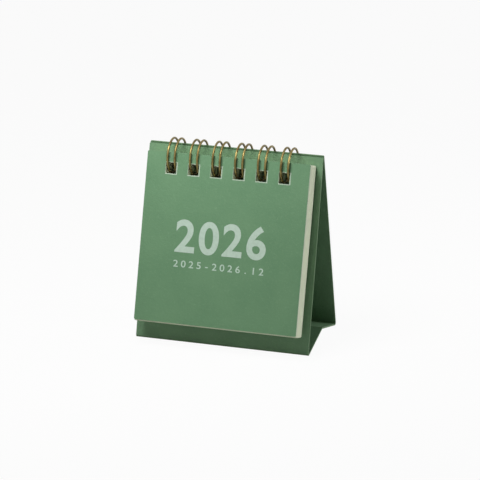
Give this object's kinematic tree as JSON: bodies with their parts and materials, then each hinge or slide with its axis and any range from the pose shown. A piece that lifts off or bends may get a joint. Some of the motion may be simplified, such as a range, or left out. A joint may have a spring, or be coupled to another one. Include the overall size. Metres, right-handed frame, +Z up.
{
  "type": "desk calendar",
  "caption": "Small free-standing desk calendar: a folded card easel with a hinged base, and a cover and month leaves that turn on a twin-loop wire binding.",
  "frame": {"origin": "on the table, under the middle of the whole object's box", "axes": "+Z up, +X to the right of a person reading the calendar, +Y from the cover towards the easel's back"},
  "size_m": [0.0654, 0.0438, 0.0726],
  "materials": {
    "easel_card": "matt dyed card",
    "gold_wire": "gold-coloured coat on steel wire",
    "cover_card": "matt printed card",
    "leaf_paper": "uncoated paper"
  },
  "bodies": {
    "stand_front": {"front_panel": "easel_card", "binding_wire": "gold_wire"},
    "stand_back": {"back_panel": "easel_card"},
    "base_front": {"base_front_flap": "easel_card"},
    "base_back": {"base_back_flap": "easel_card"},
    "leaf_14": {"leaf_14": "leaf_paper"},
    "leaf_13": {"leaf_13": "leaf_paper"},
    "leaf_12": {"leaf_12": "leaf_paper"},
    "leaf_11": {"leaf_11": "leaf_paper"},
    "leaf_10": {"leaf_10": "leaf_paper"},
    "leaf_09": {"leaf_09": "leaf_paper"},
    "leaf_08": {"leaf_08": "leaf_paper"},
    "leaf_07": {"leaf_07": "leaf_paper"},
    "leaf_06": {"leaf_06": "leaf_paper"},
    "leaf_05": {"leaf_05": "leaf_paper"},
    "leaf_04": {"leaf_04": "leaf_paper"},
    "leaf_03": {"leaf_03": "leaf_paper"},
    "leaf_02": {"leaf_02": "leaf_paper"},
    "leaf_01": {"leaf_01": "leaf_paper"},
    "cover": {"cover": "cover_card"}
  },
  "joints": [
    {"name": "stand_fold", "type": "hinge", "parent": "stand_front", "child": "stand_back", "pos_m": [0, -0.00025, 0.06595], "axis": [-1, 0, 0], "range_deg": [0, 22]},
    {"name": "base_front_fold", "type": "hinge", "parent": "stand_front", "child": "base_front", "pos_m": [0, -0.01276, 0.00096], "axis": [1, 0, 0], "range_deg": [0, 59]},
    {"name": "base_back_fold", "type": "hinge", "parent": "stand_back", "child": "base_back", "pos_m": [0, 0.02085, 0.00096], "axis": [-1, 0, 0], "range_deg": [0, 57]},
    {"name": "leaf_14_turn", "type": "hinge", "parent": "stand_front", "child": "leaf_14", "pos_m": [0, -0.00025, 0.06595], "axis": [-1, 0, 0], "range_deg": [0, 3]},
    {"name": "leaf_13_turn", "type": "hinge", "parent": "leaf_14", "child": "leaf_13", "pos_m": [0, -0.00025, 0.06595], "axis": [-1, 0, 0], "range_deg": [0, 3]},
    {"name": "leaf_12_turn", "type": "hinge", "parent": "leaf_13", "child": "leaf_12", "pos_m": [0, -0.00025, 0.06595], "axis": [-1, 0, 0], "range_deg": [0, 3]},
    {"name": "leaf_11_turn", "type": "hinge", "parent": "leaf_12", "child": "leaf_11", "pos_m": [0, -0.00025, 0.06595], "axis": [-1, 0, 0], "range_deg": [0, 3]},
    {"name": "leaf_10_turn", "type": "hinge", "parent": "leaf_11", "child": "leaf_10", "pos_m": [0, -0.00025, 0.06595], "axis": [-1, 0, 0], "range_deg": [0, 3]},
    {"name": "leaf_09_turn", "type": "hinge", "parent": "leaf_10", "child": "leaf_09", "pos_m": [0, -0.00025, 0.06595], "axis": [-1, 0, 0], "range_deg": [0, 3]},
    {"name": "leaf_08_turn", "type": "hinge", "parent": "leaf_09", "child": "leaf_08", "pos_m": [0, -0.00025, 0.06595], "axis": [-1, 0, 0], "range_deg": [0, 3]},
    {"name": "leaf_07_turn", "type": "hinge", "parent": "leaf_08", "child": "leaf_07", "pos_m": [0, -0.00025, 0.06595], "axis": [-1, 0, 0], "range_deg": [0, 3]},
    {"name": "leaf_06_turn", "type": "hinge", "parent": "leaf_07", "child": "leaf_06", "pos_m": [0, -0.00025, 0.06595], "axis": [-1, 0, 0], "range_deg": [0, 3]},
    {"name": "leaf_05_turn", "type": "hinge", "parent": "leaf_06", "child": "leaf_05", "pos_m": [0, -0.00025, 0.06595], "axis": [-1, 0, 0], "range_deg": [0, 3]},
    {"name": "leaf_04_turn", "type": "hinge", "parent": "leaf_05", "child": "leaf_04", "pos_m": [0, -0.00025, 0.06595], "axis": [-1, 0, 0], "range_deg": [0, 3]},
    {"name": "leaf_03_turn", "type": "hinge", "parent": "leaf_04", "child": "leaf_03", "pos_m": [0, -0.00025, 0.06595], "axis": [-1, 0, 0], "range_deg": [0, 3]},
    {"name": "leaf_02_turn", "type": "hinge", "parent": "leaf_03", "child": "leaf_02", "pos_m": [0, -0.00025, 0.06595], "axis": [-1, 0, 0], "range_deg": [0, 3]},
    {"name": "leaf_01_turn", "type": "hinge", "parent": "leaf_02", "child": "leaf_01", "pos_m": [0, -0.00025, 0.06595], "axis": [-1, 0, 0], "range_deg": [0, 3]},
    {"name": "cover_turn", "type": "hinge", "parent": "leaf_01", "child": "cover", "pos_m": [0, -0.00025, 0.06595], "axis": [-1, 0, 0], "range_deg": [0, 58]}
  ],
  "couplings": [
    {"joint": "base_front_fold", "follows": "stand_fold", "ratio": 2.68},
    {"joint": "base_back_fold", "follows": "stand_fold", "ratio": 2.59}
  ]
}
